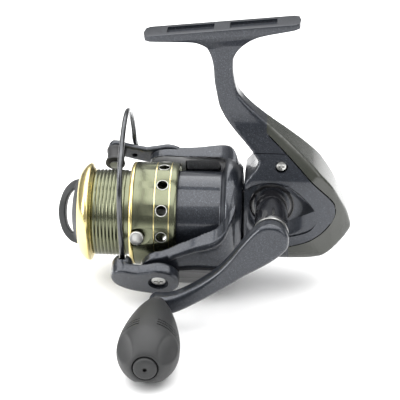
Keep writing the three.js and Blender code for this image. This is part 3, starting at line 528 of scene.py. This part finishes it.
# %% The nose, the bearing seats and the screw holes
combine(housing, turned("nose",
    [(55, 8.3), (55, 10.2), (55.4, 10.5), (64.4, 10.5), (64.4, 8.3), (55, 8.3)]), "UNION")
combine(housing, turned("nose_bore",
    [(54, 0), (54, 8.3), (60.8, 8.3), (60.8, 7.25), (64.2, 7.25), (64.2, 4.2), (66, 4.2), (66, 0)]))
combine(housing, turned("far_bore", [(8, 0), (8, 4), (12.7, 4), (12.7, 7), (16, 7), (16, 0)], "Y",
    (CRANK_X, CRANK_Z)))
combine(side_cover, turned("nose_clearance", [(50, 0), (50, 10.8), (64.7, 10.8), (64.7, 0)]))
combine(side_cover, turned("crank_recess",
    [(-20, 0), (-20, 9.5), (-12.4, 9.4), (-12.1, 9.1), (-12.1, 4.2), (-7, 4.2), (-7, 0)], "Y",
    (CRANK_X, CRANK_Z)))
oval_run = [(59.5, 17.0), (64, 20), (71.7, 21.4), (80, 19.1), (87.7, 12.1), (90.8, 6.2), (88.5, 0.1),
    (79.5, -3.2), (68, -4.4), (59.5, -4.4)]
oval_groove = plate("oval_groove", smooth_run(oval_run), -16, -12.75)
inner_oval = [(74 + (x - 74) * 0.972, 8.5 + (z - 8.5) * 0.965) for x, z in smooth_run(oval_run)]
combine(oval_groove, plate("oval_island", inner_oval, -17, -12))
combine(side_cover, oval_groove)
combine(side_cover, plate("oval_floor", inner_oval, -16, -13.15))
COVER_SCREWS = [(75.4, 28.2), (66.5, -9.5)]
for x, z in COVER_SCREWS:
    combine(side_cover, turned("screw_well",
        [(-20, 0), (-20, 2.75), (-10.9, 2.75), (-10.9, 1.25), (4, 1.25), (4, 0)], "Y", (x, z), 32))
complete(housing, "body", "flake_paint", "housing", angle=38)
complete(side_cover, "body", "flake_paint", "side_cover", angle=38)
complete(rear_guard, "body", "olive_gloss", "rear_guard", angle=38)
# Painted shade: a thin gloss-black dish lines the crank recess round the collar. It is a dark sheet that
# stands for the shadow in the recess.
shade_dish = turned("crank_recess_painted_shade",
    closed([(-13.3, 9.05), (-13.2, 9.3), (-12.2, 9.25), (-12.05, 9.0), (-12.05, 7.5), (-12.3, 7.5),
    (-12.35, 8.7), (-12.5, 8.9)]),
              "Y", (CRANK_X, CRANK_Z), 96)
complete(shade_dish, "body", "gloss_black", angle=40)


# %% [markdown]
# ## The spool
# The spool is turned from one bar. Its drum has shallow ridges that grip the line, a skirt hides
# the rotor's front, and twelve drilled holes lighten the skirt. Two gold rings finish its edges.

# %% Spool blank
DRUM, SKIRT = 18.4, 22.0
RIDGES = 9
drum_run = []
for i in range(RIDGES):
    start = -3.7 + i * 13.8 / RIDGES
    drum_run += [(start, DRUM - 0.42), (start + 0.35, DRUM - 0.05), (start + 0.75, DRUM),
        (start + 1.15, DRUM - 0.05)]
spool = turned("spool_turning", closed([
    (-9.6, 15.6), (-9.6, 16.9), (-3.7, 16.9), *drum_run, (10.1, DRUM - 0.4), (12, DRUM - 0.4), (12, 20.5),
    (14.1, 20.5),
    (14.1, SKIRT), (30.9, SKIRT), (31.7, 21.8), (32.2, 21.3), (32.2, 20.5), (15.6, 20.5), (15.6, 16.8),
    (1, 16.8), (1, 5.5),
    (20, 5.5), (20, 2.3), (-1, 2.3), (-1, 12.4), (-6.8, 12.4), (-6.8, 15.6)]), steps=128)
HOLES, HOLE_X, HOLE_RADIUS = 12, 26, 2.25
HOLE_TURN = radians(2.6)


def skirt_place(index, height):
    """The middle of a skirt hole at a height above the shaft, and the turn that faces it."""
    turn = HOLE_TURN + index * 2 * pi / HOLES
    return Vector((HOLE_X, -height * sin(turn), height * cos(turn))) * MM, turn


for i in range(HOLES):
    place, turn = skirt_place(i, 21.5)
    bpy.ops.object.select_all(action="DESELECT")
    bpy.ops.mesh.primitive_cylinder_add(vertices=28, radius=HOLE_RADIUS * MM, depth=5 * MM, location=place,
        rotation=(turn, 0, 0))
    combine(spool, bpy.context.object)
clip_well = turned("clip_well", [(-25, 0), (-25, 3.7), (-21.1, 3.7), (-21.1, 0)], "Y", (16.0, -1), 40)
clip_well_wide = turned("clip_well_wide", [(-25, 0), (-25, 3.9), (-21.1, 3.9), (-21.1, 0)], "Y", (17.6, -1),
    40)
combine(clip_well, clip_well_wide, "UNION")
combine(spool, clip_well)
ease_rims(spool, 0.18, 2, 50)
complete(spool, "spool", "olive_anodised", "spool", angle=40)

# %% [markdown]
# ### Trim of the spool
# The front lip is a thin gold ring that flares out, and the line slides over it. The rear flange
# is narrower. Two fine gold lines run beside the holes, and each hole has a bright chamfer.

# %% Gold rings, lines and hole chamfers
lip = turned("spool_lip", closed([(-10, 17.2),
    *smooth_run([(-10, 17.6), (-9, 19), (-7.6, 20.3), (-6.4, 20.95), (-5.4, 20.9), (-4.9, 20.3),
    (-4.6, 19.4), (-4.0, 18.6)], 4), (-4, 17.2)]), steps=128)
complete(lip, "spool", "pale_gold", "spool_lip_ring", angle=50)
rear_ring = turned("spool_rear_flange",
    closed([(12.0, 20.6), *smooth_run([(12.0, 20.8), (12.4, 21.5), (13, 21.9), (13.6, 21.9), (13.9, 21.6)],
    4), (13.9, 20.6)]), steps=128)
complete(rear_ring, "spool", "pale_gold", "spool_rear_ring", angle=50)
for number, x in enumerate((22.9, 29.1)):
    line = turned(f"skirt_gold_line_{number + 1}",
        closed([(x - 0.24, 21.9), (x - 0.2, 22.06), (x + 0.2, 22.06), (x + 0.24, 21.9)]), steps=128)
    complete(line, "spool", "pale_gold")
chamfers = None
for i in range(HOLES):
    place, turn = skirt_place(i, 21.86)
    bpy.ops.object.select_all(action="DESELECT")
    bpy.ops.mesh.primitive_torus_add(location=place, rotation=(turn, 0, 0),
        major_radius=(HOLE_RADIUS + 0.06) * MM,
                                     minor_radius=0.19 * MM, major_segments=36, minor_segments=8)
    ring = bpy.context.object
    if chamfers is None:
        chamfers = ring
        continue
    chamfers.select_set(True)
    bpy.context.view_layer.objects.active = chamfers
    bpy.ops.object.join()
chamfers.name = "skirt_hole_chamfers"
bpy.ops.object.transform_apply(location=True, rotation=True, scale=True)
complete(chamfers, "spool", "steel")

# %% Line clip
clip = turned("line_clip_button",
    [(-23.9, 0), (-23.88, 2.5), (-23.75, 2.85), (-23.4, 3.1), (-22.6, 3.1), (-22.4, 2.7), (-22.2, 1.2),
    (-21.5, 1.2), (-21.5, 0)], "Y", (15.9, -1), 48)
complete(clip, "spool", "steel", "line_clip", angle=50)

# %% [markdown]
# ## The drag knob
# A domed cap sits inside the front lip. A finger bridge arches over it, with daylight below, and
# the whole knob has a sandy grey skin.

# %% Drag knob
dome_run = smooth_run([(-13.8, 0.01), (-13.6, 5), (-12.8, 10), (-11.2, 13.4), (-9.2, 14.9), (-7.2, 15.1)],
    4)
dome = turned("drag_dome", [(-13.8, 0), *dome_run, (-7.2, 3.4), (-12.2, 3.4), (-12.2, 0)], steps=96)
bridge_over = [(-10.4, -14.2), (-14.4, -12.6), (-18, -8), (-19.8, 0), (-18, 8), (-14.4, 12.6),
    (-10.4, 14.2)]
bridge_under = [(-11, 11), (-14.2, 8.6), (-16.2, 5), (-16.8, 0), (-16.2, -5), (-14.2, -8.6), (-11, -11)]
bridge = plate("finger_bridge", [*smooth_run(bridge_over), *smooth_run(bridge_under)], -3.5, 3.5)
ease_rims(bridge, 0.8, 4, 50)
bridge.rotation_euler = (radians(-24.5), 0, 0)
combine(dome, bridge, "UNION")
soften(dome, 0.3, 6)
complete(dome, "drag_knob", "drag_grey", "drag_knob", angle=60)

# %% [markdown]
# ## The rotor
# The rotor is a cup on the pinion, with a flared flange behind and two arms that reach forward to
# the bail's pivots. The arms are cut from one turned shell by a plan outline, and a raised rib
# runs along their edges, because a thin wall with a rib is stiff and light.

# %% Rotor
HUB = 18.5
hub = turned("rotor_shell", closed([
    (28.5, 16.8), (28.5, 18.2), (28.8, HUB),
    *smooth_run([(49.6, HUB), (50.6, 19), (51.3, 21.5), (52.2, 24.0), (53.4, 24.9), (55.4, 24.8),
    (57.4, 23.4), (59.3, 20.8)], 4),
    (59.3, 18.6), (53.5, 18.6), (53.5, 3.7), (50.5, 3.7), (50.5, 16.8)]), steps=128)
arm_inner = [(16, 27), (26, 26.6), (34, 25.2), (50, 24.4), (53, 23), (56, 21.6)]
arm_outer = smooth_run([(57.2, 23), (55.8, 26.4), (53, 28.8), (48, 29.4), (40, 29), (32, 29.6), (26, 30.4),
    (16, 30.4)], 4)
half_plan = [(60, 22), (55, 21), (52.4, 18), (48, 15.4), (41.5, 13.2), (34, 10.6), (29, 8.8)]
pivot_end = [(BAIL_X + 8 * cos(radians(90 + i * 15)), 8 * sin(radians(90 + i * 15))) for i in range(13)]
arm_plan = [*smooth_run(half_plan, 4), *pivot_end,
    *smooth_run([(x, -z) for x, z in reversed(half_plan)], 4)]
rib_plan = [*smooth_run([(x, z - 2.4) for x, z in half_plan], 4),
    *[(BAIL_X + (x - BAIL_X) * 0.72, z * 0.72) for x, z in pivot_end],
            *smooth_run([(x, 2.4 - z) for x, z in reversed(half_plan)], 4)]
arms = turned("rotor_arms", closed([*arm_outer, *arm_inner]), steps=96)
combine(arms, plate("arm_saw", arm_plan, -40, 40), "INTERSECT")
rib = turned("arm_rib", closed([*[(x, r + 0.9) for x, r in arm_outer],
    *[(x, r + 1.5) for x, r in arm_inner]]), steps=96)
combine(rib, plate("rib_saw", arm_plan, -40, 40), "INTERSECT")
combine(rib, plate("rib_core", rib_plan, -40, 40))
combine(rib, plate("rib_end", [(10, -12), (30, -12), (30, 12), (10, 12)], -40, 40))
combine(arms, rib, "UNION")
soften(arms, 0.4, 7)
combine(hub, arms, "UNION")
for side in (-1, 1):
    low, high = sorted((side * 24, side * 36))
    combine(hub, turned("pivot_bore", [(low, 0), (low, 1.5), (high, 1.5), (high, 0)], "Y", (BAIL_X, 0), 32))
window_view = [(33.5, -4), (33.5, 6.2), (38, 7.2), (46, 8), (48.5, 6.5), (49, 2), (48.5, -4)]
window = plate("far_arm_window", window_view, 22, 26.6)
ease_rims(window, 1.2, 4, 40)
combine(hub, window)
complete(hub, "rotor", "flake_paint", "rotor", turn=ROTOR_TURN, angle=38)

# %% [markdown]
# ## The bail
# The bail arm is a bean-shaped casting with a sunk cross-head screw at its pivot. The wire leaves
# a socket in it, arches over the spool and ends beside the line roller on the far arm.

# %% Bail arm and roller arm
bean_view = [*smooth_run([(17.5, 6.6), (21, 7.3), (25.6, 8.6), (30.6, 7), (33.8, 2.8), (33.8, -2.8),
    (30.8, -6.8), (25.6, -8.4),
                          (19, -7.6), (12.5, -5.6), (8, -2.6), (6.2, 0.6), (6, 3.6), (7.8, 6.6), (11, 7.8),
                          (14.4, 7), (17.5, 6.6)], 4)]
bean = plate("bail_arm_casting", bean_view, -36.5, -31.4)
ease_rims(bean, 1.0, 4, 60)
combine(bean, turned("wire_lobe", [(-35.6, 0), (-35.3, 3), (-33, 4.4), (-29, 4.4), (-27, 3.6), (-26.2, 0)],
    "Y", (10.4, 3.2), 48), "UNION")
soften(bean, 0.32, 10)
combine(bean, turned("screw_well",
    [(-40, 0), (-40, 4.7), (-36.2, 4.2), (-34.6, 4.1), (-34.6, 1.5), (-28, 1.5), (-28, 0)], "Y",
    (BAIL_X, 0), 48))
combine(bean, turned("wire_socket", [(-31.2, 0), (-31.2, 1.4), (-25, 1.4), (-25, 0)], "Y", (10.4, 4), 32))
combine(bean, plate("socket_slot", [(9, 4), (11.8, 4), (11.8, 9), (9, 9)], -30.2, -25))
complete(bean, "bail", "flake_paint", "bail_arm", turn=ROTOR_TURN, angle=45)
roller_view = [*smooth_run([(16, 4.2), (21, 5.4), (25.6, 6.4), (30.4, 4.4), (32, 0), (30.4, -4.4),
    (25.6, -6.4), (20, -5.4), (12, -3.4),
                            (4, -0.6), (0.2, 0.6), (-1.2, 4), (0.2, 7.4), (3.4, 8.2), (9, 6), (16, 4.2)],
                            4)]
roller_arm = plate("roller_arm_casting", roller_view, 31.3, 33.8)
ease_rims(roller_arm, 0.8, 4, 60)
combine(roller_arm, turned("wire_boss", [(32.6, 0), (32.6, 2.4), (35.2, 2.4), (35.6, 2), (35.6, 0)], "Y",
    (10.4, 0.6), 40), "UNION")
soften(roller_arm, 0.3, 5)
for x, z, radius in ((10.4, 0.6, 1.25), (BAIL_X, 0, 1.5), (2.7, 4, 1.5)):
    combine(roller_arm, turned("bore", [(30, 0), (30, radius), (38, radius), (38, 0)], "Y", (x, z), 32))
complete(roller_arm, "bail", "flake_paint", "roller_arm", turn=ROTOR_TURN, angle=45)

# %% [markdown]
# ### The wire
# Wire is drawn as one smooth path with a round section. A curve with a bevel depth does this in
# one step, and the curve is turned into a mesh once its path is right.

# %% Wire
WIRE_X, ARCH_MIDDLE, ARCH_HALF, ARCH_HEIGHT = 10.4, 4, 32, 41
ARCH_FULLNESS = 2.4  # an ellipse is 2, and more is fuller at the shoulders


def full(value):
    return (1 if value > 0 else -1) * abs(value) ** (2 / ARCH_FULLNESS)


wire_run = [(WIRE_X, -28.2, 3.6)]
for i in range(25):
    turn = pi * i / 24
    wire_run.append((WIRE_X, ARCH_MIDDLE - ARCH_HALF * full(cos(turn)),
        ARCH_MIDDLE + ARCH_HEIGHT * full(sin(turn))))
wire_run += [(10.6, 37.3, 2), (10.4, 36.0, 0.8), (10.4, 32.4, 0.6)]
bpy.ops.object.select_all(action="DESELECT")
bpy.ops.curve.primitive_nurbs_path_add()
wire = bpy.context.object
wire.name = "bail_wire_bent"
wire.data.splines.clear()
path = wire.data.splines.new("BEZIER")
path.bezier_points.add(len(wire_run) - 1)
for spot, place in zip(path.bezier_points, wire_run):
    spot.co = Vector(place) * MM
    spot.handle_left_type = spot.handle_right_type = "AUTO"
wire.data.bevel_depth = 1.1 * MM
wire.data.bevel_resolution = 6
wire.data.resolution_u = 6
wire.data.use_fill_caps = True
bpy.ops.object.convert(target="MESH")
wire = bpy.context.object
complete(wire, "bail", "gunmetal", "bail_wire", turn=ROTOR_TURN, angle=60)

# %% [markdown]
# ### Roller, pin and screws
# The line roller is a small waisted bobbin. A screw is a turned head with a dished top, and its
# cross is cut by two thin plates.

# %% Roller, pin and screws
roller = turned("line_roller_bobbin",
    closed([(31, 1.5), (31, 4), (30.8, 4.3), (30.3, 4.3),
    *smooth_run([(29.8, 4.2), (28.8, 3.9), (27, 3.8), (25.4, 3.9), (24.4, 4.2)], 3), (24, 4.3), (23.5, 4.3),
    (23.3, 4), (23.3, 1.5)]), "Y", (2.7, 4), 64)
complete(roller, "line_roller", "matte_black", "line_roller", turn=ROTOR_TURN, angle=50)


def cross_screw(name, x, z, head_out, head_in, head, shank, tip):
    """A cross-head screw along Y whose head is at head_out."""
    way = 1 if head_out > 0 else -1
    screw = turned(name, [(head_out, 0), (head_out - 0.1 * way, head * 0.7), (head_out - 0.35 * way, head),
        (head_in, head),
                          (head_in, shank), (tip, shank), (tip, 0)], "Y", (x, z), 40)
    low, high = sorted((head_out + way, head_out - 0.8 * way))
    for long_way in (True, False):
        u, v = (head * 0.66, head * 0.17) if long_way else (head * 0.17, head * 0.66)
        combine(screw, plate("cross", [(x - u, z - v), (x + u, z - v), (x + u, z + v), (x - u, z + v)], low,
            high))
    return screw


complete(cross_screw("bail_screw_near_head", BAIL_X, 0, -35.7, -34.8, 2.9, 1.2, -27), "bail", "steel",
    "bail_screw_near", turn=ROTOR_TURN)
complete(cross_screw("bail_screw_far_head", BAIL_X, 0, 35.8, 34.8, 2.9, 1.2, 27), "bail", "steel",
    "bail_screw_far", turn=ROTOR_TURN)
for number, (x, z) in enumerate(COVER_SCREWS):
    screw = cross_screw(f"cover_screw_{number + 1}", x, z, -12.2, -11.1, 1.95, 0.95, 3)
    complete(screw, "body", "steel", f"side_cover_screw_{number + 1}")

# %% [markdown]
# ## Crank, arm and knob
# The crank runs in a gloss collar that stands out of the body. The arm curves down and forward in
# a flat tapering bar with a rounded face, and carries an egg-shaped rubber knob on a spindle.

# %% Collar and arm
collar = turned("crank_collar_tube",
    closed([(-41.5, 3.3), (-41.5, 6.7), (-41.2, 7.05), (-40.6, 7.15), (-40.1, 7.0), (-39.8, 6.8),
    *smooth_run([(-39.4, 6.95), (-30, 6.8), (-20, 6.65), (-14, 6.6)], 4), (-12.3, 6.6), (-12.3, 3.3)]), "Y",
    (CRANK_X, CRANK_Z), 96)
complete(collar, "crank", "gloss_black", "crank_collar", angle=40)
rim = turned("collar_rim", closed([(-41.55, 6.6), (-41.55, 7.1), (-41.2, 7.24), (-40.7, 7.24), (-40.5, 7.1),
    (-40.5, 6.6)]), "Y", (CRANK_X, CRANK_Z), 96)
complete(rim, "crank", "steel", angle=50)
arm_view = [*smooth_run([(64.3, 14.6), (59.9, 9), (55.8, 3.2), (50.6, -2.8), (45, -7.4), (39.3, -11.2),
    (33.4, -14.2), (28.8, -15.2), (25.6, -15),
                         (23.2, -17), (23.2, -19.4), (25.4, -21.6), (30.6, -22.8), (35.6, -21.2),
                         (44, -16.4), (52.8, -10.8), (57.7, -7.4),
                         (62.4, -4.1), (68.8, -0.2), (74, 3.4), (77.6, 6.8), (79, 9.4), (79, 13.4),
                         (76.6, 17), (72.4, 18.6), (68, 17.8), (64.3, 14.6)], 4)]
arm = plate("crank_arm_bar", arm_view, -49.5, -41.9)
ease_rims(arm, 1.9, 5, 60)
soften(arm, 0.4, 6)
combine(arm, turned("shaft_bore", [(-45, 0), (-45, 3.3), (-40, 3.3), (-40, 0)], "Y", (CRANK_X, CRANK_Z),
    40))
combine(arm, turned("spindle_bore",
    [(-51, 0), (-51, 1.5), (-47.5, 1.5), (-47.5, 1.9), (-40, 1.9), (-40, 0)], "Y", (KNOB_X, KNOB_Z), 40))
combine(arm, turned("pin_bore", [(-44.5, 0), (-44.5, 1.6), (-41, 1.6), (-41, 0)], "Y",
    (CRANK_X - 6.6, CRANK_Z + 1), 32))
complete(arm, "crank", "flake_paint", "crank_arm", angle=45)

# %% [markdown]
# ### The knob
# The egg is turned, and three turned cutters scoop finger valleys out of its outer end. It is then
# softened, as moulded rubber is, and three fine grooves are cut round it, broken above and below.

# %% Knob
grip_run = smooth_run([(-52, 4.6), (-55, 6), (-61, 7.9), (-69, 9.9), (-77, 11.4), (-84, 12.1),
    (-89.5, 11.9), (-94.5, 10), (-98, 7.4), (-99.4, 5.6)], 6)
grip = turned("knob_egg", closed([(-52, 1.6), *grip_run, (-99.4, 4.9), (-96.4, 4.9), (-96.4, 1.6)]), "Y",
    (KNOB_X, KNOB_Z), 96)
for turn in (-pi / 2, pi / 6, 5 * pi / 6):
    valley = turned("valley", [(-104, 0),
        *smooth_run([(-104, 17.4), (-98, 15), (-93, 12.8), (-89, 10.8), (-86.5, 9.2)]), (-86.5, 0)], "Y",
                    (KNOB_X + 21.6 * cos(turn), KNOB_Z + 21.6 * sin(turn)), 96)
    combine(grip, valley)
soften(grip, 0.4, 10)
for along, depth in ((-81.4, 11.25), (-83.4, 11.45), (-85.4, 11.45)):
    groove = turned("groove", closed([(along - 0.3, depth), (along - 0.3, 13), (along + 0.3, 13),
        (along + 0.3, depth)]), "Y", (KNOB_X, KNOB_Z), 96)
    combine(groove, plate("break",
        [(KNOB_X - 3.4, KNOB_Z - 15), (KNOB_X + 3.4, KNOB_Z - 15), (KNOB_X + 3.4, KNOB_Z + 15),
        (KNOB_X - 3.4, KNOB_Z + 15)], along - 1, along + 1))
    combine(grip, groove)
complete(grip, "knob", "dark_rubber", "knob_grip", angle=35)
cap = turned("knob_end_cap", [(-99.2, 0), (-99.2, 0.75), (-100.5, 0.8), (-100.6, 1.0),
    *smooth_run([(-100.6, 2.6), (-100.4, 3.7), (-99.9, 4.4), (-99.4, 4.6)], 3), (-96.8, 4.6), (-96.8, 0)],
    "Y", (KNOB_X, KNOB_Z), 64)
complete(cap, "knob", "dark_rubber", "knob_cap", angle=40)
washer = turned("knob_neck_washer",
    closed([(-51.6, 1.6), (-51.6, 4.2), (-51.4, 4.4), (-50.4, 4.4), (-50.2, 4.2), (-50.2, 1.6)]), "Y",
    (KNOB_X, KNOB_Z), 64)
complete(washer, "knob", "matte_black", "knob_washer", angle=40)
